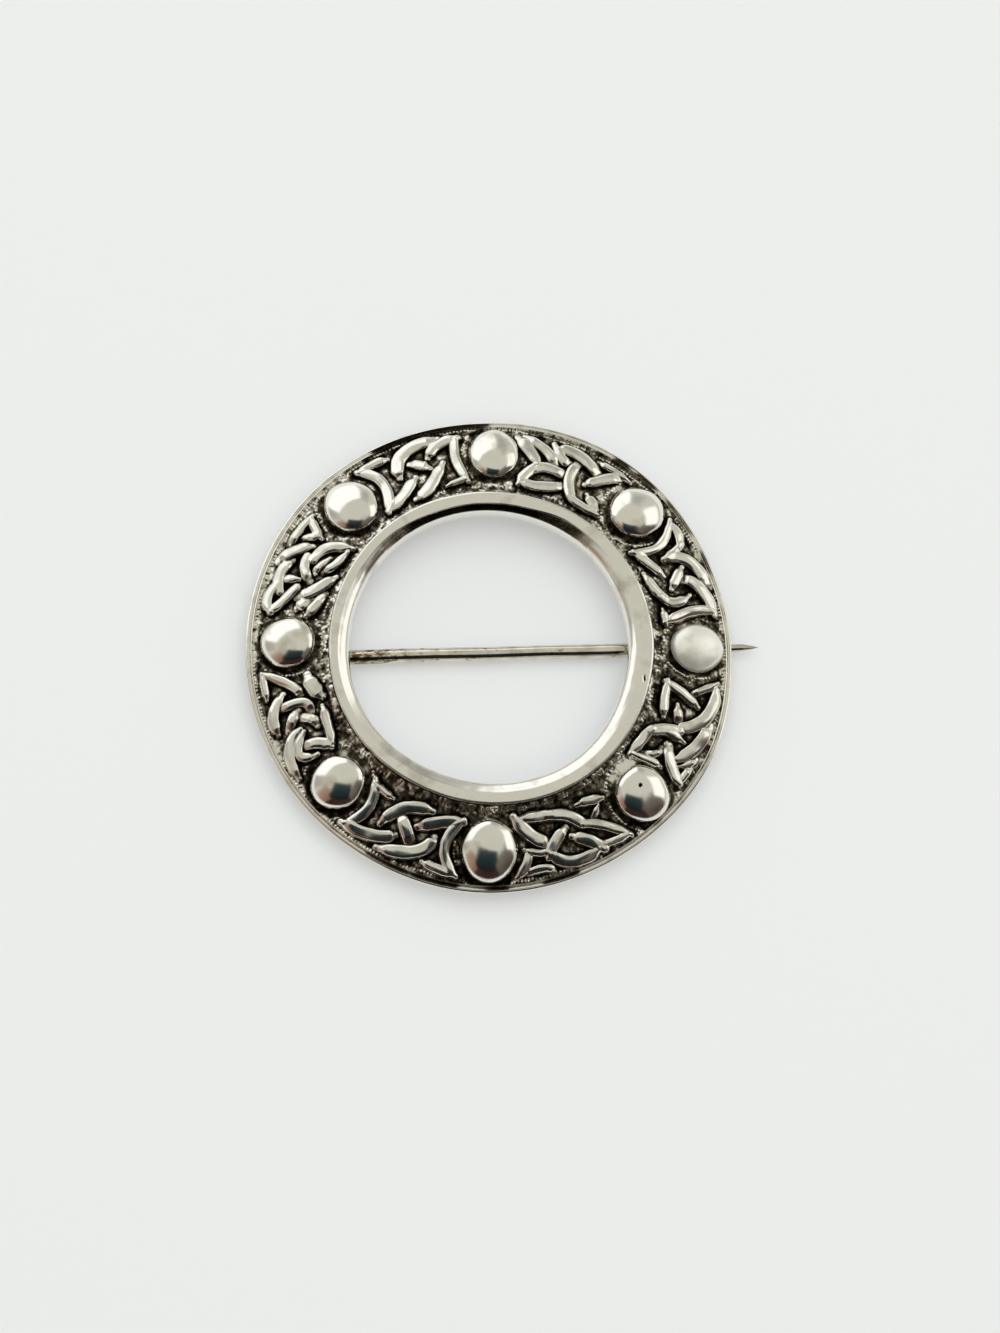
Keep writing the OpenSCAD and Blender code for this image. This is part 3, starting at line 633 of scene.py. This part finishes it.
def ring_body():
    """The body with its hand-made edges, the marks of its making, the black oxide that stayed on it, and
    painted shade and a painted dark reflection on its collar and rim.
    """
    bm = spun([(p.x * MM, 0, p.y * MM) for p in body_section()], 540)
    mesh = finish_piece(bm, "ring_body", "brooch", "ring", materials=(bright_silver, back_silver)).data
    for polygon in mesh.polygons:
        polygon.material_index = 1 if polygon.normal.z < -0.25 else 0
    x, y, z = (vertices_of(mesh) / MM).T
    r = np.hypot(x, y)
    turn = np.arctan2(y, x)
    deg = np.degrees(turn)
    scale = hand_made(deg, r) / r
    x, y = x * scale, y * scale
    # 1 on the face of the rim and the collar, 0 on the back
    face = smooth_step(z, RIM_Z + 0.25, RIM_Z + 0.5)
    z = z + work_marks(x, y, z, r, turn, face)
    # A nick in the flat of the collar
    nick_x, nick_y, nick_depth = 13.95, -3.6, 0.2
    nick = np.exp(-((x - nick_x) / 0.1) ** 2 - ((y - nick_y) / 0.34) ** 2)
    z = z - nick_depth * nick * face
    soil = np.maximum(collar_soil(x, y, z, r, turn), groove_soil(x, y, r, deg) * face)
    set_surface(mesh, np.stack([x, y, z], 1), np.maximum(soil, 0.9 * nick))


# The knotwork, its sunk ground and the borders of beads

def tip(row, end):
    """Where a strand starts (end 0), bends halfway (2) or ends (4), in millimetres from the middle."""
    angle = math.radians(row[end])
    return Vector((row[end + 1] * math.cos(angle), row[end + 1] * math.sin(angle)))


def strand_distance(row, middle, x, y, further=(0, 0), steps=22):
    """Signed distance in millimetres from a strand's centre line, the share of it that is passed, and
    its length. The line runs on past its two ends by the millimetres in further."""
    start, half, end = (np.array(row[i:i + 2]) for i in (0, 2, 4))
    pull = 2 * half - (start + end) / 2
    chord = (tip(row, 4) - tip(row, 0)).length
    t = np.linspace(-further[0] / chord, 1 + further[1] / chord, steps + 1)[:, None]
    line = (1 - t) ** 2 * start + 2 * t * (1 - t) * pull + t * t * end
    angle = np.radians(line[:, 0] + middle)
    px, py = line[:, 1] * np.cos(angle), line[:, 1] * np.sin(angle)
    best = np.full(x.shape, 1e9)
    along = np.zeros(x.shape)
    side = np.ones(x.shape)
    for k in range(steps):
        dx, dy = px[k + 1] - px[k], py[k + 1] - py[k]
        s = np.clip(((x - px[k]) * dx + (y - py[k]) * dy) / (dx * dx + dy * dy), 0, 1)
        d = np.hypot(x - px[k] - s * dx, y - py[k] - s * dy)
        near = d < best
        best[near] = d[near]
        along[near] = (k + s[near]) / steps
        side[near] = np.sign((x - px[k]) * dy - (y - py[k]) * dx)[near]
    length = np.hypot(np.diff(px), np.diff(py)).sum()
    return best * side, along, length


# How a strand's tip ends: how far it runs on in millimetres, and the shares of its height and of its
# width that it loses
FREE_TIP = (0.1, 0.4, 0.4)
JOINED_TIP = (0.05, 0.02, 0.0)
CORNER_TIP = (0.1, 0.08, 0.38)
CROSSING_TIP = (0.32, 0.5, 0.08)


def tip_kind(rows, row, end):
    """A tip joins another's tip, makes a sharp corner with it, dives under a strand, or lies free."""
    joined_within, crossing_within, sharp = 0.8, 0.95, math.radians(105)
    here = tip(row, end)
    away = tip(row, 2) - here
    others = [other for other in rows if other is not row]
    for other in others:
        for k in (0, 4):
            if (tip(other, k) - here).length < joined_within:
                return CORNER_TIP if away.angle(tip(other, 2) - here) < sharp else JOINED_TIP
    x, y = np.array([here.x]), np.array([here.y])
    nearest = min(abs(strand_distance(other, 0, x, y)[0][0]) for other in others)
    return CROSSING_TIP if nearest < crossing_within else FREE_TIP


def soft_union(a, b):
    """The higher of two heights, with a small fillet where they meet."""
    size = 0.35 * np.minimum(a, b) + 1e-6
    share = np.clip(0.5 + 0.5 * (a - b) / size, 0, 1)
    return b + (a - b) * share + size * share * (1 - share)


def strand_height(row, middle, x, y, seed, tips):
    """Height of one strand: a bar with steep sides and a low round back that the graver left leaning."""
    aside, along, length = strand_distance(row, middle, x, y, [kind[0] for kind in tips])
    dip, slim = 1, 1
    for from_end, (further, lower, slimmer) in zip((along, 1 - along), tips):
        dip = dip - lower * smooth_step(from_end * length, further + 0.5, 0)
        slim = slim - slimmer * smooth_step(from_end * length, further + min(0.8, 0.3 * length), 0)
    half = row[6] / 2 * SOFT_SIDES * (1 - TIP_LOSS * (2 * along - 1) ** 4) * slim
    inside = half - np.abs(aside) - 0.04 * lumps(x + seed, y, 0.7, 11)
    wall = smooth_step(inside, -0.16, 0.04)
    flank = np.clip(inside / np.minimum(0.24, 0.8 * half), 0, 1)
    across = np.clip(aside / half, -1, 1)
    back = (0.5 * flank + 0.5 * np.sqrt(1 - (1 - flank) ** 2)) * (1 - 0.55 * across ** 2)
    lean = 0.08 * math.sin(2.4 * seed + 1) + 0.1 * lumps(x + seed, y, 1.6, 17)
    top = 0.7 + 0.26 * back + lean * across + 0.1 * lumps(x, y + seed, 1.1, 12)
    return KNOT_H * wall * top * dip


def bead_row(along_mm, across_mm, spacing, width):
    """A row of beads: along_mm is the place along the row, across_mm the distance from its line."""
    bead = np.abs(np.cos(math.pi * along_mm / spacing)) ** 0.8
    return np.exp(-(across_mm / width) ** 2) * (0.35 + 0.65 * bead)


def round_bosses(panel, x, y):
    """Round a sector's two bosses: how much of each place lies in the moat, and the height of beads."""
    moat = np.zeros(x.shape)
    beads = np.zeros(x.shape)
    for k in (panel, (panel + 1) % len(BOSSES)):
        turn, boss_r, width, length = BOSSES[k]
        at = math.radians(PATTERN_TURN + k * SECTOR + turn)
        dx, dy = x - boss_r * math.cos(at), y - boss_r * math.sin(at)
        outward = dx * math.cos(at) + dy * math.sin(at)
        sideways = dy * math.cos(at) - dx * math.sin(at)
        size = np.hypot(outward / length * 2, sideways / width * 2)
        gap = (size - 1) * (width + length) / 4
        # The moat is wider and deeper on the side that is near the viewer, and blacker there by painted
        # shade
        low_side = 0.5 - 0.5 * np.sin(np.arctan2(dy, dx) + 0.2)
        reach = 0.3 + 0.4 * low_side + 0.2 * lumps(x, y, 0.9, 14)
        mottled = 0.85 + 0.4 * lumps(x, y, 0.5, 18)
        moat = np.maximum(moat, smooth_step(gap, reach, reach - 0.35) * (0.1 + 0.9 * low_side) * mottled)
        ring_place = np.arctan2(sideways, outward) * (width / 2 + 0.7)
        beads = np.maximum(beads, 0.16 * bead_row(ring_place, gap - 0.78, 0.34, 0.17))
    return moat, beads


def strands_height(deg, r, panel):
    """Height of a panel's strands over the ground."""
    middle = PATTERN_TURN + (panel + 0.5) * SECTOR
    a = np.radians(deg)
    x, y = r * np.cos(a), r * np.sin(a) - KNOT_OFF
    strands = np.zeros(x.shape)
    rows = list(PANELS.values())[panel]
    for k, row in enumerate(rows):
        tips = [tip_kind(rows, row, end) for end in (0, 4)]
        strands = soft_union(strands, strand_height(row, middle, x, y, 3 * k + 40 * panel, tips))
    return strands


def ground_relief(deg, r, from_collar, panel):
    """Height of a sector's grainy ground with its beads and pits, and how black the bare ground is."""
    a = np.radians(deg)
    x, y = r * np.cos(a), r * np.sin(a)
    border_r = (RIM_IN_R + GROUND_OUT_R) / 2
    foot_r = 15.55
    grains = 0.03 * lumps(x, y, 0.17, 1) + 0.06 * lumps(x, y, 0.32, 2) + 0.05 * lumps(x, y, 0.8, 3)
    # Between the collar and the pitted boss the ground was rubbed almost clean
    turn = BOSSES[PITTED_BOSS][0]
    off_turn = (deg - PATTERN_TURN - PITTED_BOSS * SECTOR - turn + 180) % 360 - 180
    patch_turn, patch_r = 1, 16.5
    patch = np.exp(-((off_turn - patch_turn) / 6) ** 2 - ((r - patch_r) / 0.75) ** 2)
    # The ground sweeps up to the collar's foot and sinks round the bosses
    sweep = smooth_step(from_collar, 0.7, 0.0)
    moat, beads = round_bosses(panel, x, y)
    ground = grains - 0.02 + 0.35 * sweep - 0.3 * moat - 0.7 * patch * grains
    border = 0.2 * bead_row(a * border_r, r - border_r, 0.33, 0.2)
    foot = 0.12 * bead_row(a * foot_r, r - foot_r, 0.36, 0.2)
    uneven = 0.65 + 0.6 * lumps(x, y, 0.9, 4)
    beads = np.maximum(np.maximum(beads, border), foot) * uneven * (1 - np.clip(1.3 * patch, 0, 1))
    # Worn-out places just inside the border
    pits = 0.2 * np.exp(-((r - border_r + 0.42) / 0.2) ** 2) * smooth_step(lumps(x, y, 0.8, 13), 0.1, 0.5)
    # Painted shade: the ground on the side of the ring that is near the viewer is drawn darker
    shade = -0.05 * np.sin(a)
    near_rim = smooth_step(r, GROUND_OUT_R - 0.4, GROUND_OUT_R)
    # Near the rim the ground's black follows RIM_BLACK, so it is partly painted shade
    speckle = (0.2 * lumps(x, y, 0.21, 15) + 0.3 * lumps(x, y, 0.45, 16)
               + 0.7 * near_rim * (stray(RIM_BLACK, deg) - 0.35))
    bare = (0.6 * moat + speckle * (1 - 0.6 * moat) - 1.2 * beads + 2 * pits
            + shade + 0.12 * sweep - 0.7 * patch)
    return np.maximum(ground + beads - pits, -LOWEST_DIP), bare


def blurred(grid, cells):
    """A running mean over a square of cells, repeated twice to make it soft."""
    for axis in (0, 1, 0, 1):
        padded = np.concatenate([np.repeat(grid.take([0], axis), cells, axis), grid,
                                 np.repeat(grid.take([-1], axis), cells, axis)], axis)
        total = np.cumsum(padded, axis)
        count = 2 * cells
        size = grid.shape[axis]
        grid = (total.take(range(count, count + size), axis) - total.take(range(0, size), axis)) / count
    return grid


def knotwork(panel, name):
    """One panel with half of the ground round each of its two bosses, closed below."""
    across, out = 310, 142
    inner, outer = GROUND_IN_R - 0.12, RIM_IN_R + 0.06
    bm = bmesh.new()
    bmesh.ops.create_grid(bm, x_segments=across, y_segments=out, size=1)
    rim_edges = [e for e in bm.edges if e.is_boundary]
    filled = bmesh.ops.holes_fill(bm, edges=rim_edges, sides=0)["faces"]
    bmesh.ops.triangulate(bm, faces=filled)
    for edge in rim_edges:
        edge.smooth = False
    mesh = finish_piece(bm, name, "brooch", "ring", materials=(relief_silver,)).data
    co = vertices_of(mesh)
    column = np.rint((co[:, 0] + 1) / 2 * across).astype(int)
    line = np.rint((co[:, 1] + 1) / 2 * out).astype(int)
    border = (column == 0) | (column == across) | (line == 0) | (line == out)
    u = np.clip(co[:, 0] * across / (across - 2), -1, 1)
    v = np.clip(co[:, 1] * out / (out - 2), -1, 1)
    middle = PATTERN_TURN + (panel + 0.5) * SECTOR
    deg = middle - u * SECTOR / 2
    plain_r = inner + (v + 1) / 2 * (outer - inner)
    r = hand_made(deg, plain_r)
    strands = strands_height(deg, r, panel)
    ground, bare = ground_relief(deg, r, plain_r - GROUND_IN_R, panel)
    height = np.maximum(ground, strands)
    # What lies lower than its surroundings stayed black, what stands proud was rubbed bright; the bare
    # ground's black also holds the painted shade made in ground_relief and round_bosses
    grid = np.zeros((across + 1, out + 1))
    grid[column, line] = height
    proud = (grid - blurred(grid, 6))[column, line]
    fine = (grid - blurred(grid, 2))[column, line]
    on_strand = smooth_step(strands, 0.3 * KNOT_H, 0.7 * KNOT_H)
    soil = (0.44 + bare) * (1 - on_strand) - (2.0 - on_strand) * proud - 3.6 * fine
    z = ground_z(plain_r) + np.where(border, -PANEL_ROOT, height)
    a = np.radians(deg)
    set_surface(mesh, np.stack([r * np.cos(a), r * np.sin(a), z], 1), soil)


# Bosses

def boss_form(width, length):
    """A bmesh of an oval dome on an upright foot, its middle at the ground."""
    wider = 1.04
    rise = BOSS_RISE * width / 2
    dome = [(math.sin(t), math.cos(t)) for t in np.linspace(0, math.pi / 2 * 0.97, 44)]
    foot = [(1.0, 0.03), (1.012, -0.02), (1.016, -0.1), (1.012, -0.3), (1.0, -BOSS_ROOT), (0, -BOSS_ROOT)]
    bm = bmesh.new()
    points = [bm.verts.new((r, 0, z)) for r, z in dome]
    points += [bm.verts.new((r, 0, z / rise)) for r, z in foot]
    edges = [bm.edges.new(pair) for pair in zip(points, points[1:])]
    bmesh.ops.spin(bm, geom=points + edges, cent=(0, 0, 0), axis=(0, 0, 1), angle=math.tau,
                   steps=132, use_merge=True)
    bmesh.ops.remove_doubles(bm, verts=bm.verts, dist=1e-5)
    bmesh.ops.dissolve_degenerate(bm, edges=bm.edges, dist=1e-6)
    bmesh.ops.recalc_face_normals(bm, faces=bm.faces)
    bmesh.ops.scale(bm, vec=(wider * length / 2 * MM, wider * width / 2 * MM, rise * MM), verts=bm.verts)
    return bm


def boss(k):
    """A polished oval dome that leans outwards with the ground, on a short upright foot."""
    turn, boss_r, width, length = BOSSES[k]
    material = worn_silver if k == WORN_BOSS else bright_silver
    piece = finish_piece(boss_form(width, length), f"boss_{k + 1}", "brooch", "ring", materials=(material,))
    mesh = piece.data
    co = vertices_of(mesh) / MM
    around = np.arctan2(co[:, 1], co[:, 0])
    out = np.hypot(co[:, 0] / length * 2, co[:, 1] / width * 2)
    # The outline and the crown aren't quite true
    edge_x, edge_y = np.cos(around) + 9 * k, np.sin(around)
    co[:, :2] *= (1 + 0.03 * smooth_step(out, 0.3, 1) * lumps(edge_x, edge_y, 0.55, 21))[:, None]
    co[:, 2] += 0.014 * lumps(co[:, 0] + 7 * k, co[:, 1], 1.5, 22) * smooth_step(co[:, 2], 0, 0.3)
    soil = smooth_step(co[:, 2], -0.1, -0.25) * 0.95
    if k == PITTED_BOSS:
        pit_x, pit_y, pit_depth = -0.85, 0.14, 0.12
        pit = np.exp(-((co[:, 0] - pit_x) / 0.16) ** 2 - ((co[:, 1] - pit_y) / 0.2) ** 2)
        co[:, 2] -= pit_depth * pit
        soil = np.maximum(soil, smooth_step(pit, 0.2, 0.5))
    set_surface(mesh, co, soil)
    lean = Matrix.Rotation(GROUND_TILT, 4, "Y")
    turned = Matrix.Rotation(math.radians(PATTERN_TURN + k * SECTOR + turn), 4, "Z")
    mesh.transform(turned @ Matrix.Translation((boss_r * MM, 0, ground_z(boss_r) * MM)) @ lean)
    mesh.update()


# Bracket and catch, soldered to the back

def plate(bm, centre, length, thickness, top):
    """An upright plate that stands on the floor, its two lower corners round when it is seen along Y."""
    end, corner_r = length / 2, 0.55
    corners = [(-end, top, 0), (-end, 0.0, corner_r), (end, 0.0, corner_r), (end, top, 0)]
    side = [bm.verts.new(((centre[0] + p.x) * MM, (centre[1] - thickness / 2) * MM, p.y * MM))
            for p in rounded(corners, 6)]
    face = bm.faces.new(side)
    walls = bmesh.ops.extrude_face_region(bm, geom=[face])
    moved = [v for v in walls["geom"] if isinstance(v, bmesh.types.BMVert)]
    bmesh.ops.translate(bm, verts=moved, vec=(0, thickness * MM, 0))


def findings(name, x, gap_half, thickness):
    """Two plates that are soldered to the back, one on each side of the pin."""
    sunk = 0.3
    bm = bmesh.new()
    top = ground_z(abs(x) + FINDING_L / 2) - sunk
    for side in (-1, 1):
        plate(bm, (x, PIN_Y + side * (gap_half + thickness / 2)), FINDING_L, thickness, top)
    bmesh.ops.recalc_face_normals(bm, faces=bm.faces)
    sharp = [e for e in bm.edges if len(e.link_faces) == 2 and e.calc_face_angle() > 0.9]
    bmesh.ops.bevel(bm, geom=sharp, offset=0.09 * MM, segments=3, profile=0.5, affect="EDGES", material=-1)
    finish_piece(bm, name, "brooch", "ring", materials=(back_silver,))


# The pin and its rivet

def add_stem(bm):
    """The stem with its neck and its filed point, turned about its own line. The eye's middle is at 0."""
    length = TIP_X + HINGE_X
    taper = 14 + HINGE_X
    under_rim = OUTER_R + HINGE_X
    shape = [(0.6, NECK_R), (NECK_L, PIN_R), (taper, PIN_R), (under_rim, PIN_END_R),
             (length - 1.4, PIN_END_R * 0.86), (length - 0.9, PIN_END_R * 0.64),
             (length - 0.45, PIN_END_R * 0.42), (length, 0.02)]
    along = np.concatenate([np.linspace(shape[0][0], under_rim, 150),
                            np.linspace(under_rim + 0.05, length, 40)])
    radii = np.interp(along, [p[0] for p in shape], [p[1] for p in shape])
    points = [bm.verts.new((s * MM, 0, r * MM)) for s, r in zip(along, radii)]
    points = [bm.verts.new((along[0] * MM, 0, 0))] + points + [bm.verts.new((length * MM, 0, 0))]
    edges = [bm.edges.new(pair) for pair in zip(points, points[1:])]
    bmesh.ops.spin(bm, geom=points + edges, cent=(0, 0, 0), axis=(1, 0, 0), angle=math.tau,
                   steps=48, use_merge=True)
    bmesh.ops.remove_doubles(bm, verts=bm.verts, dist=1e-7)
    # The wire isn't quite straight
    for v in bm.verts:
        s = v.co.x / MM
        v.co.z += 0.012 * MM * math.sin(s * 0.9) * (s > 1.5)
        v.co.y += 0.02 * MM * math.sin(s * 0.55 + 1) * (s > 1.5)


def add_eye(bm):
    """The round eye that turns on the rivet."""
    bore = RIVET_R + EYE_GAP
    half = EYE_W / 2
    section = rounded([(bore, -half, 0.06), (EYE_R, -half, 0.14), (EYE_R, half, 0.14),
                       (bore, half, 0.06)], 5)
    points = [bm.verts.new((p.x * MM, p.y * MM, 0)) for p in section]
    edges = [bm.edges.new((a, b)) for a, b in zip(points, points[1:] + points[:1])]
    bmesh.ops.spin(bm, geom=points + edges, cent=(0, 0, 0), axis=(0, 1, 0), angle=math.tau,
                   steps=64, use_merge=True)


def pin():
    """The wire with its round eye, as one piece."""
    bm = bmesh.new()
    add_stem(bm)
    add_eye(bm)
    bmesh.ops.remove_doubles(bm, verts=bm.verts, dist=1e-7)
    bmesh.ops.dissolve_degenerate(bm, edges=bm.edges, dist=1e-8)
    bmesh.ops.recalc_face_normals(bm, faces=bm.faces)
    bmesh.ops.translate(bm, verts=bm.verts, vec=(-HINGE_X * MM, PIN_Y * MM, PIN_Z * MM))
    finish_piece(bm, "pin_wire", "pin_body", "pin", materials=(nickel_wire,))


def rivet():
    """A short wire with a hammered, slightly domed head at each end."""
    low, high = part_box("hinge_rivet")
    half = (high.y - low.y) / MM / 2
    head_r = (high.x - low.x) / MM / 2
    # From the middle of a head round to its wire: across, back from the head's face, and radius
    head = [(0, 0, 0), (head_r * 0.75, 0.03, 0.1), (head_r, 0.2, 0.08), (head_r, 0.3, 0.03),
            (RIVET_R, 0.3, 0)]
    corners = ([(x, back - half, r) for x, back, r in head]
               + [(x, half - back, r) for x, back, r in reversed(head)])
    profile = [(p.x * MM, p.y * MM, 0) for p in rounded(corners, 4)]
    bm = spun(profile, 48, axis=(0, 1, 0))
    bmesh.ops.translate(bm, verts=bm.verts, vec=(-HINGE_X * MM, PIN_Y * MM, PIN_Z * MM))
    finish_piece(bm, "rivet", "brooch", "hinge_rivet", materials=(nickel_wire,))


ring_body()
for index, panel_name in enumerate(PANELS):
    knotwork(index, "knotwork_" + panel_name)
for index in range(len(BOSSES)):
    boss(index)
findings("hinge_bracket", -HINGE_X, EYE_W / 2 + EAR_GAP, EAR_T)
findings("catch", CATCH_X, PIN_R + CATCH_GAP, CATCH_T)
pin()
rivet()


# Floor and light

def add_stage(name, size, material):
    """A flat square of a given size in metres that isn't part of the brooch."""
    bm = bmesh.new()
    bmesh.ops.create_grid(bm, x_segments=1, y_segments=1, size=size / 2)
    mesh = bpy.data.meshes.new(name)
    bm.to_mesh(mesh)
    bm.free()
    mesh.materials.append(material)
    piece = bpy.data.objects.new(name, mesh)
    bpy.context.scene.collection.objects.link(piece)
    return piece


def floor():
    """A pale matte sheet, lit a little from behind, which keeps the shadows on it soft."""
    made, _, shader = new_material("pale_lit_sheet")
    shader.inputs["Metallic"].default_value = 0.0
    shader.inputs["Roughness"].default_value = 0.6
    shader.inputs["Base Color"].default_value = linear("#c6c7c7")
    shader.inputs["Emission Color"].default_value = linear("#f4f8fa")
    shader.inputs["Emission Strength"].default_value = 0.3
    add_stage("floor", 1.4, made)


def direction(azimuth, elevation):
    """The direction that leads from the brooch out to a light or a card."""
    a, e = math.radians(azimuth), math.radians(elevation)
    return Vector((math.cos(a) * math.cos(e), math.sin(a) * math.cos(e), math.sin(e)))


def soft_light(name, azimuth, elevation, distance, size, power, tint):
    """A large light that looks at the brooch. The metal doesn't mirror it, only the cards."""
    data = bpy.data.lights.new(name, "AREA")
    data.shape = "DISK"
    data.size = size
    data.energy = power
    data.color = linear(tint)[:3]
    light = bpy.data.objects.new(name, data)
    light.location = direction(azimuth, elevation) * distance
    light.rotation_euler = direction(azimuth, elevation).to_track_quat("Z", "Y").to_euler()
    light.visible_glossy = False
    bpy.context.scene.collection.objects.link(light)


def card_material(name, low, high, glow, soft, axis):
    """A glow that fades out at a ragged edge. Its two colours run along an axis of the card."""
    ragged = 0.12
    made, tree, shader = new_material(name)
    place = add(tree, "ShaderNodeTexCoord").outputs["Object"]
    sides = add(tree, "ShaderNodeVectorMath", {0: place}, operation="ABSOLUTE").outputs["Vector"]
    parts = add(tree, "ShaderNodeSeparateXYZ", {"Vector": sides})
    square = add(tree, "ShaderNodeMath", {0: parts.outputs["X"], 1: parts.outputs["Y"], 2: 0.2},
                 operation="SMOOTH_MAX").outputs[0]
    edge = add(tree, "ShaderNodeTexNoise", {"Vector": place, "Scale": 3.0, "Detail": 1.0}).outputs["Fac"]
    reach = add(tree, "ShaderNodeMath", {0: edge, 1: ragged, 2: square}, operation="MULTIPLY_ADD")
    rim = 0.49 + ragged / 2
    share = add(tree, "ShaderNodeMapRange", {
        "Value": reach.outputs[0], "From Min": rim - soft, "From Max": rim, "To Min": 1.0, "To Max": 0.0,
    }, interpolation_type="SMOOTHSTEP").outputs[0]
    clear = add(tree, "ShaderNodeBsdfTransparent")
    run = add(tree, "ShaderNodeSeparateXYZ", {"Vector": place}).outputs[axis]
    run = add(tree, "ShaderNodeMath", {0: run, 1: 0.5}, operation="ADD").outputs[0]
    tint = add(tree, "ShaderNodeValToRGB", {"Fac": run}, [(0.1, low), (0.9, high)]).outputs["Color"]
    light = add(tree, "ShaderNodeEmission", {"Color": tint, "Strength": glow})
    both = add(tree, "ShaderNodeMixShader", {0: share, 1: clear.outputs[0], 2: light.outputs[0]})
    output = next(node for node in tree.nodes if node.type == "OUTPUT_MATERIAL")
    tree.links.new(both.outputs[0], output.inputs["Surface"])
    tree.nodes.remove(shader)
    return made


# The lights for the sheet. One row for each: name, azimuth, elevation, distance and size in metres,
# power in watts, and tint
LIGHTS = [
    ("daylight", 79, 73, 0.7, 0.7, 1.85, "#e8f2ff"),
    ("room_fill", -60, 74, 0.7, 0.8, 0.9, "#fff8f0"),
]

# What the metal mirrors besides the plain room. One row for each card: name, azimuth, elevation,
# distance, width and height in metres, its low and high colours, glow, share of it that the soft edge
# takes, and the axis that the colours run along: Y from low to high, X from clockwise to anticlockwise.
CARDS = [
    ("window_left", 124, 23, 0.5, 0.84, 0.52, "#ffffff", "#ffffff", 1.15, 0.07, "Y"),
    ("window_right", 14, 29, 0.5, 0.46, 0.38, "#fffdf8", "#fffdf8", 1.15, 0.12, "Y"),
    ("mauve_wall", 175, 22, 0.6, 0.40, 0.60, "#a59c98", "#bfb7b2", 1.0, 0.35, "Y"),
    ("grey_wall", 68, 28, 0.6, 0.36, 0.50, "#a9a9a4", "#a9a9a4", 1.0, 0.45, "Y"),
    ("brown_side", -46, 25, 0.55, 0.92, 0.85, "#38201a", "#77706a", 1.0, 0.2, "Y"),
    ("red_side", -140, 26, 0.55, 0.62, 0.60, "#b09a8a", "#6e3429", 1.0, 0.25, "X"),
    ("dim_front", -97, 16, 0.5, 0.90, 0.66, "#2c1713", "#3c2a26", 1.0, 0.2, "Y"),
    ("dark_front", -102, 53, 0.4, 0.45, 0.35, "#10181a", "#2b3a3e", 1.0, 0.12, "Y"),
]


def card(name, azimuth, elevation, distance, width, height, low, high, glow, soft, axis):
    """A glowing or dim card that looks at the brooch and that only the metal mirrors."""
    piece = add_stage(name, 1, card_material(name + "_card", low, high, glow, soft, axis))
    look = direction(azimuth, elevation).to_track_quat("Z", "Y").to_matrix().to_4x4()
    size = Matrix.Diagonal((width, height, 1, 1))
    piece.matrix_world = Matrix.Translation(direction(azimuth, elevation) * distance) @ look @ size
    piece.visible_camera = False
    piece.visible_shadow = False
    piece.visible_diffuse = False


def studio():
    """A plain pale room with lights for the sheet and cards for the metal."""
    world = bpy.data.worlds.new("soft_room")
    world.use_nodes = True
    background = world.node_tree.nodes["Background"]
    background.inputs["Color"].default_value = linear("#cdcbc0")
    background.inputs["Strength"].default_value = 1.0
    bpy.context.scene.world = world
    bpy.context.scene.view_settings.view_transform = "Standard"
    for row in LIGHTS:
        soft_light(*row)
    for row in CARDS:
        card(*row)


floor()
studio()
